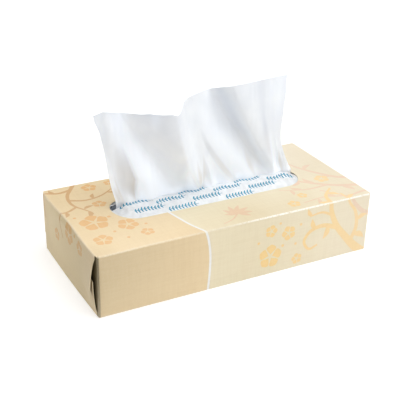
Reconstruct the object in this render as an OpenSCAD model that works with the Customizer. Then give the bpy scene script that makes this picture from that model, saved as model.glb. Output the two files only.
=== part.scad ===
// Flat carton of facial tissues: a folded paperboard carton with an oval mouth in its top,
// a slit film glued under the mouth, the interfolded stack, and one sheet standing in the slit.
// Millimetres. +X runs along the length, +Y to the back and +Z up. The origin is the middle of
// the footprint, on the surface that the carton stands on.

/* [Carton] */
// Length over the end flaps
box_l = 234; // [190:1:290]
// Depth from the front panel to the back panel
box_d = 117; // [96:1:140]
// Height from the bottom panel to the top panel
box_h = 51; // [42:1:90]
// Thickness of the paperboard
board_t = 0.5; // [0.35:0.05:0.7]
// Outside radius of every fold
fold_r = 1; // [0.8:0.1:1.4]
// Width of the glue seam inside the back panel
seam_w = 14; // [8:1:20]

/* [End flaps] */
// Length of the outer flap, which hangs from the top panel
upper_flap_l = 35; // [28:1:40]
// Length of the inner flap, which stands up from the bottom panel
lower_flap_l = 30; // [24:1:36]
// Length of the dust flaps, which fold in from the front and back panels
dust_flap_l = 45; // [30:1:46]
// Narrowing of a dust flap on each side, towards its free edge
dust_taper = 6; // [2:1:9]
// Cut-back at the sides of the long flaps
flap_inset = 1.2; // [0.8:0.1:2]
// Cut-back of the dust flaps above and below their fold
dust_relief = 1.4; // [1.1:0.1:2.5]
// Air between flaps that lie on each other
flap_gap = 0.2; // [0.1:0.05:0.4]
// How far the free corner of the front left outer flap stands off
upper_lift = 3.8; // [1:0.1:5]
// How far the corner of the inner flap below it stands off
lower_lift = 2.6; // [0.5:0.1:3]
// Length of flap that bends where a corner stands off
lift_run = 38; // [20:1:50]

/* [Mouth and film] */
// Top panel left at each end of the mouth
mouth_end = 34; // [24:1:44]
// Width of the mouth
mouth_w = 36; // [28:1:50]
// Glued margin of the film at each end of the mouth
film_end = 16; // [12:1:20]
// Glued margin of the film in front of and behind the mouth
film_side = 14; // [10:1:20]
// Thickness of the film
film_t = 0.15; // [0.1:0.05:0.3]
// Height to which the sheet has pulled the lips of the slit up, above the film's glued edge
lip_h = 6; // [2:0.5:9]
// Distance from each end of the slit to the end of the mouth
slit_end = 2; // [1:0.5:6]

/* [Tissues] */
// Air between the stack and each end of the carton
end_room = 11.5; // [6:0.5:16]
// Air between the stack and the front and back panels
side_room = 7.75; // [4:0.25:9]
// Thickness of the standing sheet, two plies with their crepe
sheet_t = 0.4; // [0.2:0.05:0.6]
// Air above the stack in a full carton
head_space = 11; // [8:0.5:20]
// Radius of the rounded edges that show each bundle of folds in the stack
bundle_r = 1.5; // [1:0.1:2]
// Depth of the gathers on each side of the middle of the slit
gather = 1.6; // [1:0.1:3]
// Height of the sheet above the lips
stand_h = 82; // [60:1:90]
// Air between the lying part of the standing sheet and the side of the stack
lie_margin = 5; // [2:0.5:10]

/* [Fit] */
// Clearance where one piece lies on another
seat_gap = 0.05; // [0.02:0.01:0.1]
// Clearance between the gathers and the lips of the slit
lip_gap = 0.3; // [0.2:0.05:0.5]

/* [Hidden] */
$fn = 48;

// Places on the carton
layer = board_t + flap_gap;
ring_end = box_l / 2 - 2 * layer - fold_r;
root_l = fold_r;
root_share = 0.04;
panel_overlap = 3 * fold_r;
ceiling_z = box_h - board_t;
floor_z = board_t;
mouth_l = box_l - 2 * mouth_end;
mouth_r = mouth_w / 2;
mouth_run = (mouth_l - mouth_w) / 2;

// Places on the film: its middle surface lies just under the top panel
film_l = mouth_l + 2 * film_end;
film_w = mouth_w + 2 * film_side;
film_z = ceiling_z - seat_gap - film_t / 2;
slit_half = gather + sheet_t / 2 + lip_gap + film_t / 2;
slit_run = mouth_l / 2 - slit_end - slit_half;
lip_start = 1;

// Places on the tissues
sheet_w = box_l - 2 * end_room;
sheet_l = 2 * (box_d - 2 * side_room);
stack_h = ceiling_z - floor_z - head_space;
stack_top = floor_z + seat_gap + stack_h;
turn_r = 2 * sheet_t;
bend_r = 4;
tail_z = stack_top + seat_gap + sheet_t / 2;
lie_z = tail_z + 2 * turn_r;
lie_y = sheet_l / 4 - lie_margin;
lip_z = film_z + lip_h;
drop_l = lip_z - lie_z - bend_r;
tail_l = sheet_l - stand_h - drop_l - bend_r * PI / 2 - (lie_y - bend_r) - turn_r * PI;
pleat_n = 9;

// A value that goes smoothly from 0 to 1 as t does, and stays there
function smooth(t) = let (c = min(1, max(0, t))) c * c * (3 - 2 * c);
function mix(a, b, t) = a + (b - a) * t;
function bell(t) = exp(-t * t);
function unit(v) = v / norm(v);

// The normal of a grid of points at one row and column
function normal_at(grid, i, j, closed) =
    let (
        rows = len(grid),
        cols = len(grid[0]),
        above = grid[min(i + 1, rows - 1)][j],
        below = grid[max(i - 1, 0)][j],
        next = grid[i][closed ? (j + 1) % cols : min(j + 1, cols - 1)],
        last = grid[i][closed ? (j + cols - 1) % cols : max(j - 1, 0)]
    )
    unit(cross(next - last, above - below));

// A sheet of even thickness whose middle surface runs through a grid of points.
// A closed sheet joins its last column to its first.
module sheet_solid(grid, thickness, closed = false) {
    rows = len(grid);
    cols = len(grid[0]);
    side = rows * cols;
    spans = closed ? cols : cols - 1;
    normals = [for (i = [0:rows - 1]) [for (j = [0:cols - 1]) normal_at(grid, i, j, closed)]];
    points = [
        for (s = [1, -1], i = [0:rows - 1], j = [0:cols - 1])
            grid[i][j] + s * thickness / 2 * normals[i][j]
    ];
    function at(s, i, j) = s * side + i * cols + j % cols;
    skins = [
        for (i = [0:rows - 2], j = [0:spans - 1])
            let (
                a = at(0, i, j), b = at(0, i, j + 1), c = at(0, i + 1, j + 1), d = at(0, i + 1, j),
                e = at(1, i, j), f = at(1, i, j + 1), g = at(1, i + 1, j + 1), h = at(1, i + 1, j)
            )
            each [[a, c, b], [a, d, c], [e, f, g], [e, g, h]]
    ];
    rims = [
        for (j = [0:spans - 1])
            let (
                a = at(0, 0, j), b = at(0, 0, j + 1), c = at(1, 0, j + 1), d = at(1, 0, j),
                e = at(0, rows - 1, j), f = at(0, rows - 1, j + 1),
                g = at(1, rows - 1, j + 1), h = at(1, rows - 1, j)
            )
            each [[a, b, c], [a, c, d], [e, g, f], [e, h, g]]
    ];
    ends = closed ? [] : [
        for (i = [0:rows - 2])
            let (
                a = at(0, i, 0), b = at(0, i + 1, 0), c = at(1, i + 1, 0), d = at(1, i, 0),
                e = at(0, i, cols - 1), f = at(0, i + 1, cols - 1),
                g = at(1, i + 1, cols - 1), h = at(1, i, cols - 1)
            )
            each [[a, c, b], [a, d, c], [e, f, g], [e, g, h]]
    ];
    polyhedron(points = points, faces = concat(skins, rims, ends), convexity = 10);
}

// Outline with straight sides and round ends, centred, long along X
module oblong(length, width) {
    square([length - width, width], center = true);
    for (s = [-1, 1]) translate([s * (length - width) / 2, 0]) circle(d = width);
}

// Quarter of a fold in section: it turns from the top, at X 0, down to the right
module fold_section() {
    intersection() {
        difference() {
            circle(r = fold_r);
            circle(r = fold_r - board_t);
        }
        square(fold_r);
    }
}

// Section of a panel that ends in a fold: the panel runs to X 0 along the top, and the
// straight start of its flap hangs down on the right
module folded_panel(panel, flap) {
    translate([-panel, -board_t]) square([panel, board_t]);
    translate([0, -fold_r]) fold_section();
    translate([fold_r - board_t, -fold_r - flap]) square([board_t, flap]);
}

// Section of the wrapped panels, across the carton: front, top, back and bottom, with the
// bottom panel's glue seam turned up inside the back panel
module wrap_section() {
    half = box_d / 2;
    seam_y = half - board_t - fold_r;
    translate([-half + fold_r, 0]) square([seam_y + half - fold_r, board_t]);
    translate([-half + fold_r, ceiling_z]) square([box_d - 2 * fold_r, board_t]);
    translate([-half, fold_r]) square([board_t, box_h - 2 * fold_r]);
    translate([half - board_t, seat_gap]) square([board_t, box_h - fold_r - seat_gap]);
    translate([half - fold_r, box_h - fold_r]) fold_section();
    translate([-half + fold_r, box_h - fold_r]) mirror([1, 0]) fold_section();
    translate([-half + fold_r, fold_r]) rotate(180) fold_section();
    translate([seam_y, fold_r]) mirror([0, 1]) fold_section();
    translate([seam_y + fold_r - board_t, fold_r]) square([board_t, seam_w - fold_r]);
}

// Share of its full lift that a flap's free corner has at a distance from the flap's side
function corner_share(distance) = pow(max(0, 1 - distance / lift_run), 2);

// How far a long flap stands off at a point: y across the carton, and a share of the way
// from its fold to its free edge. Its root stays flat, and its front and back corners have
// lifts of their own.
function stand_off(y, share, front, back) =
    let (
        edge = box_d / 2 - flap_inset,
        past_root = max(0, share - root_share) / (1 - root_share)
    )
    pow(sin(90 * past_root), 1.3) * (front * corner_share(y + edge) + back * corner_share(edge - y));

// A long flap on the left end, from its root at z_root to its free edge. Its flat part has
// its outer face at a depth behind the end of the carton.
module long_flap(z_root, length, way, depth, front, back) {
    rows = 6;
    cols = 12;
    edge = box_d / 2 - flap_inset;
    shares = concat([0], [for (i = [1:rows]) mix(root_share, 1, (i - 1) / (rows - 1))]);
    sheet_solid([
        for (share = shares)
            [for (j = [0:cols])
                let (
                    y = edge * sin(90 * (2 * j / cols - 1)),
                    x = -box_l / 2 + depth + board_t / 2 - stand_off(y, share, front, back)
                )
                [x, y, z_root + way * length * share]]
    ], board_t);
}

// Both long flaps of the left end with the folds that carry them. The lifts are shares of
// the front left corner's.
module long_flaps(front, back) {
    upper_x = box_l / 2 - fold_r;
    lower_x = upper_x - layer;
    root = fold_r + root_l;
    rotate([90, 0, 0]) linear_extrude(box_d - 2 * flap_inset, center = true) {
        translate([-upper_x, box_h]) mirror([1, 0])
            folded_panel(upper_x - ring_end + panel_overlap, root_l);
        translate([-lower_x, 0]) rotate(180)
            folded_panel(lower_x - ring_end + panel_overlap, root_l);
    }
    long_flap(box_h - root, upper_flap_l - root, -1, 0, front * upper_lift, back * upper_lift);
    long_flap(root, lower_flap_l - root, 1, layer, front * lower_lift, back * lower_lift);
}

// Dust flap that folds in from the front panel at the left end, with its corners cut off
module dust_flap() {
    low = dust_relief;
    high = box_h - dust_relief;
    tip_y = -box_d / 2 + fold_r + dust_flap_l;
    intersection() {
        translate([-ring_end, -box_d / 2]) linear_extrude(box_h)
            rotate(180) folded_panel(panel_overlap, dust_flap_l);
        rotate([90, 0, -90]) linear_extrude(box_l) polygon([
            [box_d / 2 + 1, low], [box_d / 2 - 4 * fold_r, low], [-tip_y, low + dust_taper],
            [-tip_y, high - dust_taper], [box_d / 2 - 4 * fold_r, high], [box_d / 2 + 1, high]
        ]);
    }
}

// The carton: one folded and glued sheet of paperboard
module carton() {
    color("burlywood") {
        difference() {
            rotate([90, 0, 90]) linear_extrude(2 * ring_end, center = true) wrap_section();
            translate([0, 0, ceiling_z - 1]) linear_extrude(board_t + 2) oblong(mouth_l, mouth_w);
        }
        for (end = [0, 1]) mirror([end, 0, 0]) {
            long_flaps(end == 0 ? 1 : 0.1, end == 0 ? 0.1 : 0.55);
            for (side = [0, 1]) mirror([0, side, 0]) dust_flap();
        }
    }
}

// Height of the film above its glued edge, from how far a point is inside the mouth
function film_rise(x, y) =
    let (
        along = max(0, abs(x) - mouth_run),
        inside = mouth_r - norm([along, y]),
        full = mouth_r - slit_half
    )
    inside <= lip_start ? 0
    : lip_h * sin(90 * min(1, (inside - lip_start) / (full - lip_start)));

// One loop of points round the slit: straight runs joined by round ends, or by square ends
// for the outside of the patch
function film_loop(run, half, end, square_ends) =
    let (
        run_n = 16,
        turn_n = 8,
        side = [for (k = [0:run_n]) [mix(-run, run, k / run_n), -half]],
        turn = [for (k = [1:turn_n - 1])
            let (
                a = -90 + 180 * k / turn_n,
                reach = square_ends ? min(end / max(cos(a), 0.001), half / max(abs(sin(a)), 0.001)) : half
            )
            [run + reach * cos(a), reach * sin(a)]]
    )
    concat(side, turn, [for (p = side) -p], [for (p = turn) -p]);

// The film patch under the mouth, with its slit held open and up by the sheet
module window_film() {
    outer = film_loop(mouth_run, film_w / 2, film_l / 2 - mouth_run, true);
    edge = film_loop(mouth_run, mouth_r - lip_start, 0, false);
    lips = film_loop(slit_run, slit_half, 0, false);
    steps = 7;
    function loop_points(loop) = [for (p = loop) [p[0], p[1], film_z + film_rise(p[0], p[1])]];
    color("aliceblue") sheet_solid(concat(
        [loop_points(outer)],
        [for (i = [0:steps]) loop_points([for (k = [0:len(edge) - 1]) mix(edge[k], lips[k], i / steps)])]
    ), film_t, closed = true);
}

// The interfolded stack: one block whose long sides show the rounded bundles of folds
module tissue_stack() {
    width = sheet_l / 2;
    bundles = round((stack_h - 2 * bundle_r) / (1.6 * bundle_r));
    pitch = (stack_h - 2 * bundle_r) / bundles;
    color("whitesmoke") translate([0, 0, floor_z + seat_gap])
        rotate([90, 0, 90]) linear_extrude(sheet_w, center = true) {
            translate([-width / 2 + bundle_r, 0]) square([width - 2 * bundle_r, stack_h]);
            for (side = [-1, 1], i = [0:bundles])
                translate([side * (width / 2 - bundle_r), bundle_r + i * pitch]) circle(bundle_r);
        }
}

// Lines that the broad folds of the standing sheet follow, from its left edge to its right
// edge. Each has its share of the sheet's width at the lips and at the top edge, then its
// X and Y halfway up, and its X, Y and Z at the top edge. X counts half the slit as 1, and
// Y and Z count the height of the sheet as 1.
FOLD_LINES = [
    [0, 0, -1.09, 0.04, -1.17, 0.085, 0.865],
    [0.09, 0.06, -0.985, 0.02, -1.075, 0.02, 0.915],
    [0.3, 0.15, -0.615, 0.035, -0.87, 0.05, 0.865],
    [0.44, 0.34, -0.375, -0.205, -0.53, -0.34, 0.925],
    [0.52, 0.45, -0.165, -0.035, -0.31, -0.11, 0.97],
    [0.7, 0.55, 0.04, 0, -0.08, 0.035, 0.96],
    [0.86, 0.64, 0.385, 0.1, 0.08, 0.135, 0.935],
    [0.9, 0.75, 0.49, -0.02, 0.245, -0.025, 0.995],
    [0.97, 0.88, 0.715, 0.005, 0.605, 0.025, 0.99],
    [1, 1, 0.825, 0.01, 0.915, 0.035, 1]
];

// Pleats that start at the lips: share of the width, share of the height where they end,
// half width and depth
PLEATS = [[0.08, 0.62, 0.045, 4], [0.45, 0.45, 0.022, -2], [0.93, 0.35, 0.025, 2]];

function total(list, i = 0) = i == len(list) ? 0 : list[i] + total(list, i + 1);

// The curve through a value at the lips, one halfway and one at the top edge
function upward(low, half, high, v) =
    low * (1 - v) * (1 - 2 * v) + half * 4 * v * (1 - v) + high * v * (2 * v - 1);

// Where a fold line is at height v: its share of the width, X, Y and Z
function knot(line, v) = [
    mix(line[0], line[1], v),
    slit_run * upward(mix(-1, 1, line[0]), line[2], line[4], v),
    stand_h * upward(0, line[3], line[5], v),
    lip_z + stand_h * line[6] * v
];

// The point at share u of the width on the smooth curve through a row of knots
function along_row(knots, u) =
    let (
        last = len(knots) - 1,
        k = min(last - 1, max([for (i = [0:last]) knots[i][0] <= u ? i : 0])),
        p = knots[max(0, k - 1)], a = knots[k], b = knots[k + 1], q = knots[min(last, k + 2)],
        span = b[0] - a[0],
        t = (u - a[0]) / span,
        start = (b - p) / (b[0] - p[0]) * span,
        stop = (q - a) / (q[0] - a[0]) * span,
        at = a * (1 + 2 * t) * (1 - t) * (1 - t) + start * t * (1 - t) * (1 - t)
            + b * t * t * (3 - 2 * t) + stop * t * t * (t - 1)
    )
    [at[1], at[2], at[3]];

// Gathers: uneven waves that fill the slit and fade out upwards and on the stack
function gathers(u, fade) =
    gather * fade * (0.75 * sin(360 * pleat_n * u + 50 * sin(720 * u)) + 0.25 * sin(1500 * u));
function pleats(u, v) = total([
    for (p = PLEATS)
        v < p[1] ? p[3] * bell((u - p[0]) / p[2]) * pow(sin(180 * sqrt(v / p[1])), 2) : 0
]);

function standing_row(v, cols) =
    let (knots = [for (line = FOLD_LINES) knot(line, v)])
    [for (j = [0:cols])
        let (u = j / cols)
        along_row(knots, u) + [0, gathers(u, pow(1 - v, 5)) + pleats(u, v), 0]];

// The hidden part of the sheet: down from the lips, round onto the stack, back along it and
// turned under to its tail. Distance d is measured along the sheet from the lips.
function hidden_point(u, d) =
    let (
        bend_l = bend_r * PI / 2,
        flat_l = lie_y - bend_r,
        turn_l = turn_r * PI,
        d1 = d - drop_l,
        d2 = d1 - bend_l,
        d3 = d2 - flat_l,
        d4 = d3 - turn_l,
        wave = gathers(u, pow(max(0, 1 - d / (drop_l + bend_l)), 0.7)),
        spread = smooth((d - drop_l / 2) / (bend_l + flat_l)),
        x = mix(-1, 1, u) * mix(slit_run, sheet_w / 2, spread)
    )
    d1 <= 0 ? [x, wave, lip_z - d]
    : d2 <= 0 ? let (a = d1 / bend_r * 180 / PI)
        [x, wave + bend_r * (1 - cos(a)), lie_z + bend_r * (1 - sin(a))]
    : d3 <= 0 ? [x, bend_r + d2, lie_z]
    : d4 <= 0 ? let (a = d3 / turn_r * 180 / PI)
        [x, lie_y + turn_r * sin(a), lie_z - turn_r * (1 - cos(a))]
    : [x, lie_y - d4, tail_z];

// The sheet that stands in the slit, whole, with its lower half on the stack
module popup_tissue() {
    cols = 54;
    hidden_l = sheet_l - stand_h;
    bend_l = bend_r * PI / 2;
    turn_start = drop_l + bend_l + lie_y - bend_r;
    turn_l = turn_r * PI;
    stops = concat(
        [hidden_l, mix(hidden_l, turn_start + turn_l, 0.5)],
        [for (k = [4:-1:0]) turn_start + turn_l * k / 4],
        [for (k = [2:-1:1]) mix(drop_l + bend_l, turn_start, k / 3)],
        [for (k = [4:-1:0]) drop_l + bend_l * k / 4],
        [drop_l / 2]
    );
    stand_n = 13;
    color("white") sheet_solid(concat(
        [for (d = stops) [for (j = [0:cols]) hidden_point(j / cols, d)]],
        [for (i = [0:stand_n]) standing_row(i / stand_n, cols)]
    ), sheet_t);
}

carton();
window_film();
tissue_stack();
popup_tissue();
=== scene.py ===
"""Looks of a flat carton of facial tissues: the printed carton, the slit film under its mouth,
the interfolded stack inside and the sheet that stands in the slit. Lengths are in metres in the
settings and in millimetres inside the shape functions."""

import math
from types import SimpleNamespace

import bpy
import numpy as np
from mathutils import Matrix, Vector, geometry


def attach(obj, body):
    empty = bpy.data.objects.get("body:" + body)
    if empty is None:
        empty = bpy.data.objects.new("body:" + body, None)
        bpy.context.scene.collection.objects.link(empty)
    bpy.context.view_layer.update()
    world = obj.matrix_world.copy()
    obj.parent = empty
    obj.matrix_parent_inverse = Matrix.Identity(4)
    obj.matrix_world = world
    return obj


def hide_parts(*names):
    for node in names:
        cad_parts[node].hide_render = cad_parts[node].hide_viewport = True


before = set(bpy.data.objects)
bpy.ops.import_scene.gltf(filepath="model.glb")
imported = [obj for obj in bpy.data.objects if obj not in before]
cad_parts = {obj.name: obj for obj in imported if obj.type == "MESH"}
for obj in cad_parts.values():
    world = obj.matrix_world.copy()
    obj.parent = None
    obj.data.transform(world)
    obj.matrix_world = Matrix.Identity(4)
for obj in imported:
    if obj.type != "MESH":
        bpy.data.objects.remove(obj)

bl_info = {
    "name": "Tissue box",
    "version": (1, 0, 0),
    "blender": (4, 5, 0),
    "location": "View3D > Sidebar > Tissue box",
    "description": "Builds a flat carton of facial tissues with one sheet standing in its slit",
    "category": "Add Mesh",
}

MM = 0.001

# Print colours of the carton, as seen in soft daylight
COLOURS = {
    "tan": "#ecd7b0",
    "cream": "#ede3c6",
    "stripe": "#f4f6f8",
    "twig": "#d9b283",
    "tan_bloom": "#e9bd84",
    "peach": "#edd1b4",
    "gold": "#f8d894",
}

# The white stripe between the two fields: (distance round the carton, X)
STRIPE = [
    (-140, -46), (-90, -38), (-50, -32.5), (0, -29.2), (12, -28.3), (28, -27.8), (40, -28.9),
    (51, -31.6), (66, -37.0), (80, -40.2), (98, -44.0), (125, -49.5), (160, -55.5), (220, -63),
]

# Lines that the broad folds of the standing sheet follow: share of the width at the lips and at
# the top edge, X and Y halfway up, then X, Y and Z at the top edge. X counts half the slit as 1,
# and Y and Z count the height of the sheet as 1
FOLD_LINES = np.array([
    (0, 0, -1.09, 0.04, -1.17, 0.085, 0.865),
    (0.09, 0.06, -0.985, 0.02, -1.075, 0.02, 0.915),
    (0.3, 0.15, -0.615, 0.035, -0.87, 0.05, 0.865),
    (0.44, 0.34, -0.375, -0.205, -0.53, -0.34, 0.925),
    (0.52, 0.45, -0.165, -0.035, -0.31, -0.11, 0.97),
    (0.7, 0.55, 0.04, 0, -0.08, 0.035, 0.96),
    (0.86, 0.64, 0.385, 0.1, 0.08, 0.135, 0.935),
    (0.9, 0.75, 0.49, -0.02, 0.245, -0.025, 0.995),
    (0.97, 0.88, 0.715, 0.005, 0.605, 0.025, 0.99),
    (1, 1, 0.825, 0.01, 0.915, 0.035, 1),
])

# Pleats that start at the lips: share of the width, share of the height where it ends, half its
# width as a share and its depth in millimetres
PLEATS = [(0.08, 0.62, 0.045, 4.0), (0.45, 0.45, 0.022, -2.0), (0.93, 0.35, 0.025, 2.0)]

# Creases of the standing sheet, towards the viewer where the depth is positive: line as (percent of
# the height, percent of the width) from top to bottom, reach to its left and to its right in percent
# of the width, 1 for a crisp or 2 for a soft crest, and depth in millimetres
CREASES = [
    ([(66, 11.2), (42, 13.7), (24, 15), (10, 12.5), (-6, 9)], 1.8, 5, 1, 3.2),
    ([(64, 8.5), (30, 7), (-6, 4.5)], 2.8, 3, 2, -2.4),
    ([(125, 31.5), (60, 39), (25, 42.5), (-10, 44.5)], 3, 2.5, 1, 1.2),
    ([(40, 52.7), (20, 48.2), (-4, 44)], 1, 5.5, 1, 1.5),
    ([(34, 53.3), (16, 53), (-4, 52)], 1, 3, 1, 1),
    ([(62, 54), (30, 59.2), (-5, 65.5)], 3, 4.5, 1, -0.6),
    ([(140, 57), (60, 73), (-15, 89.5)], 5, 5, 1, -1.3),
    ([(140, 69.5), (60, 81), (-15, 92.5)], 4.5, 6, 1, 1.2),
    ([(42, 94.5), (20, 94.5), (-4, 92.5)], 1.4, 2.2, 1, 1.6),
    ([(30, 97.8), (12, 97.2), (-4, 96.8)], 1.2, 1.2, 1, -1),
    ([(28, 90.5), (12, 89.5), (-4, 88.5)], 1, 1.4, 1, 0.9),
    ([(135, 8.5), (96, 14), (50, 22.2), (3, 31.2), (-25, 35.5)], 7, 5.5, 1, -1.2),
    ([(24, 4.5), (10, 3.5), (-4, 3)], 1, 1.2, 1, 0.8),
]

# Painted shade inside the folds, laid out in the same way, with its share of grey at the end
SHADES = [
    ([(66, 11.2), (42, 12.7), (24, 13.8), (10, 12), (-20, 9)], 4.2, 0.4, 1, 0.95),
    ([(34, 4.6), (10, 4.2), (-20, 4)], 0.9, 1.2, 2, 0.8),
    ([(160, 65), (100, 69), (39, 78.8), (10, 83), (-20, 85)], 3.4, 2.8, 2, 0.55),
    ([(150, 85), (80, 88), (35, 90.5)], 2.2, 2.2, 2, 0.35),
    ([(140, 8.5), (100, 10), (65, 13)], 3, 3, 2, 0.35),
    ([(170, 22), (100, 26), (55, 33)], 9, 8, 2, 0.45),
    ([(66, 55.6), (30, 61.4), (-30, 70.2)], 2.6, 2.6, 4, 0.6),
    ([(40, 53), (20, 50), (-10, 46.5)], 0.8, 2, 2, 0.65),
    ([(30, 95.5), (12, 95), (-20, 94.5)], 1, 1.2, 2, 0.9),
    ([(36, 47.6), (12, 46.2), (-15, 45.5)], 1.2, 1.3, 2, 0.75),
    ([(24, 22.6), (-20, 21.4)], 2, 2, 2, 0.45),
    ([(22, 2), (-20, 1.2)], 1.4, 1.8, 2, 0.9),
    ([(34, 77.4), (-20, 78.6)], 1.6, 1.8, 2, 0.7),
    ([(70, 88.5), (38, 89.5), (15, 90.2)], 2, 1.4, 2, 0.5),
]

# Painted light: a glow of the sheet that stands in for light caught between the folds, laid out in the same
# way
GLOWS = [
    ([(115, 7.5), (80, 12.5), (50, 17), (0, 25), (-60, 33)], 5.5, 4.5, 2, 0.85),
    ([(70, 19), (30, 23), (0, 29), (-60, 35)], 9, 10, 2, 0.45),
    ([(90, 56), (40, 69), (0, 77), (-60, 86)], 7, 5, 2, 0.3),
    ([(45, 93), (20, 92.8), (-25, 91.2)], 2, 2.6, 2, 0.6),
    ([(150, 99), (80, 96), (30, 96.5)], 5, 6, 2, 0.4),
    ([(42, 41.2), (12, 41.7), (-20, 41.4)], 2.4, 1.8, 2, 0.9),
    ([(22, 14.6), (-20, 14.4)], 1.2, 2, 2, 0.8),
    ([(17, 50), (-20, 50.4)], 1.3, 1.2, 2, 0.8),
    ([(17, 69.8), (-20, 70.4)], 2, 2, 2, 0.7),
    ([(120, 13.8), (74, 14.4)], 1.8, 2, 2, 0.45),
    ([(120, 26.4), (78, 26)], 2, 2.2, 2, 0.4),
    ([(42, 60), (15, 59), (-25, 57)], 4, 4.5, 2, 0.55),
    ([(60, 1), (30, 1.2), (4, 2)], 2, 2, 2, 0.45),
    ([(120, 2), (90, 2), (66, 2)], 2, 2, 2, 0.45),
]

# Large soft patches of painted shade and painted light on the print, darker or paler where the light falls
# less or more: centre, where the patch starts to fade and where it ends, in metres, its share, 1 on the top
# or 0 on the upright panels, tint and blend
PAINTED_LIGHT_AND_SHADE = [
    ((-0.117, -0.0585, 0.044), 0.015, 0.095, 1.0, 0, "#e4e3e0", "MULTIPLY"),
    ((-0.118, 0.012, 0.018), 0.04, 0.075, 1.0, 0, "#f2f3ec", "MULTIPLY"),
    ((-0.1, -0.05, 0.051), 0.02, 0.09, 0.15, 1, "#faead0", "MIX"),
    ((0.015, -0.055, 0.051), 0.01, 0.07, 0.8, 1, "#ebe6dd", "MULTIPLY"),
    ((0.005, -0.0585, 0.015), 0.02, 0.07, 0.3, 0, "#ebe6dd", "MULTIPLY"),
    ((0.055, 0.0585, 0.051), 0.01, 0.075, 0.5, 1, "#f7f1e6", "MIX"),
]

# Heights in metres between which an upright panel turns into the top
TOP_FOLD = (0.0495, 0.0506)

# Camera fitted to the corners of the carton in the photograph: turn, rise and roll in degrees,
# distance and aim in metres, and the lens in millimetres
CAMERA_TURN, CAMERA_RISE, CAMERA_ROLL = -28.0173, 26.1712, 1.1079
CAMERA_REACH, CAMERA_AIM, CAMERA_LENS = 0.81535, (0.037117, 0.08154, 0), 80.256

# Settings

def size(name, description, default):
    """A length in metres that a user may change."""
    return bpy.props.FloatProperty(name=name, description=description, default=default, unit="LENGTH")


def number(name, description, default):
    """A count that a user may change."""
    return bpy.props.IntProperty(name=name, description=description, default=default)


def strength(name, description, default):
    """The strength of a light that a user may change."""
    return bpy.props.FloatProperty(name=name, description=description, default=default)


class CartonSettings(bpy.types.PropertyGroup):
    length: size("Length", "Over the end flaps", 0.2363)
    depth: size("Depth", "Front panel to back panel", 0.117)
    height: size("Height", "Bottom panel to top panel", 0.051)
    board: size("Board", "Thickness of the paperboard", 0.0005)
    fold: size("Fold", "Outside radius of the folds", 0.001)
    layer: size("Layer", "Depth taken by one flap and its air", 0.00053)
    upper_flap: size("Upper flap", "Length of the outer end flap", 0.035)
    lower_flap: size("Lower flap", "Length of the inner end flap", 0.03)
    dust_flap: size("Dust flap", "Length of the dust flaps", 0.046)
    inset: size("Inset", "Cut-back at the sides of the long flaps", 0.0034)
    relief: size("Relief", "Cut-back of the dust flaps", 0.0008)
    upper_lift: size("Upper lift", "Stand-off of the outer flap's corner", 0.0045)
    lower_lift: size("Lower lift", "Stand-off of the inner flap's corner", 0.0026)
    lift_run: size("Lift run", "Length of flap that bends", 0.038)
    seam: size("Seam", "Width of the glue seam", 0.014)
    mouth_length: size("Mouth length", "Length of the mouth", 0.166)
    mouth_width: size("Mouth width", "Width of the mouth", 0.036)
    stripe: size("Stripe", "Width of the white stripe", 0.0018)


class FilmSettings(bpy.types.PropertyGroup):
    end_margin: size("End margin", "Glued margin at each end", 0.016)
    side_margin: size("Side margin", "Glued margin at each side", 0.014)
    height: size("Height", "Height of the glued edge", 0.05041)
    thickness: size("Thickness", "Thickness of the film", 0.00005)
    lip: size("Lip height", "Rise of the lips of the slit", 0.006)
    slit_half: size("Slit", "Half width of the held slit", 0.0021)
    slit_run: size("Slit run", "Half length of the slit's straight part", 0.08)


class StackSettings(bpy.types.PropertyGroup):
    width: size("Width", "Along the carton", 0.211)
    depth: size("Depth", "Across the carton", 0.1015)
    height: size("Height", "Height of the stack", 0.039)
    base: size("Base", "Height of its underside", 0.00055)
    bundles: number("Bundles", "Bundles of folds that show", 26)


class SheetSettings(bpy.types.PropertyGroup):
    width: size("Width", "Width of the sheet", 0.211)
    length: size("Length", "Length of the sheet", 0.203)
    thickness: size("Thickness", "Two plies with their crepe", 0.0003)
    stand: size("Height", "Height above the lips", 0.082)
    lip_z: size("Lips", "Height of the lips", 0.056375)
    slit_run: size("Slit", "Half width of the gathered sheet", 0.078825)
    gather: size("Gather", "Depth of the gathers", 0.0016)
    lie_z: size("Lying height", "Height of the lying part", 0.0414)
    columns: number("Columns", "Steps across the sheet", 240)
    rows: number("Rows", "Steps up the standing part", 120)


class StageSettings(bpy.types.PropertyGroup):
    top: strength("Top light", "Strength of the light from above", 2.05)
    right: strength("Right light", "Strength of the light from the right", 0.7)
    front: strength("Front light", "Strength of the light from the front", 0.48)
    sky: strength("Sky", "Strength of the surroundings", 0.2)


# Node and colour helpers

def colour(code):
    """Linear colour with alpha from an sRGB hex code."""
    parts = [int(code[i:i + 2], 16) / 255 for i in (1, 3, 5)]
    return [c / 12.92 if c <= 0.04045 else ((c + 0.055) / 1.055) ** 2.4 for c in parts] + [1.0]


def add(tree, kind, inputs=None, **settings):
    """Adds a node, sets its properties, and gives each input a value or the socket that feeds it."""
    node = tree.nodes.new(kind)
    for name, value in settings.items():
        setattr(node, name, value)
    for name, value in (inputs or {}).items():
        if isinstance(value, bpy.types.NodeSocket):
            tree.links.new(value, node.inputs[name])
        else:
            node.inputs[name].default_value = value
    return node


def blank_material(name):
    """A new material and its empty tree."""
    material = bpy.data.materials.new(name)
    material.use_nodes = True
    material.node_tree.nodes.clear()
    return material, material.node_tree


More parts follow.
